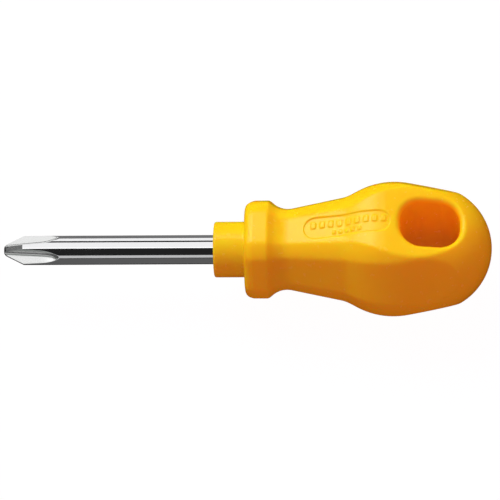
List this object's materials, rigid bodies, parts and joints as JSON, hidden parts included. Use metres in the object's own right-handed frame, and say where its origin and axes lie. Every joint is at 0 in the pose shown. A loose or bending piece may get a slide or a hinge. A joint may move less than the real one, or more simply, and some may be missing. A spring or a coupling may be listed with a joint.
{
  "type": "phillips screwdriver",
  "caption": "Stubby Phillips screwdriver: round chromed blade in a yellow moulded plastic grip with a front collar, a flange, a swelling six-sided bulb and a hanging hole.",
  "frame": {"origin": "centre of the blunt end of the Phillips tip, on the tool's axis", "axes": "+X along the tool from the tip towards the handle; +Z the normal of the grip face with the sunk panel, which the hanging hole is parallel to; +Y completes a right-handed frame"},
  "size_m": [0.1003, 0.029, 0.0254],
  "materials": {
    "chromed_steel": "polished chrome plate on the shank, satin ground flutes at the tip",
    "yellow_polypropylene": "glossy injection moulded polypropylene, coloured through"
  },
  "bodies": {
    "root": {"blade": "chromed_steel", "handle": "yellow_polypropylene"}
  },
  "joints": []
}
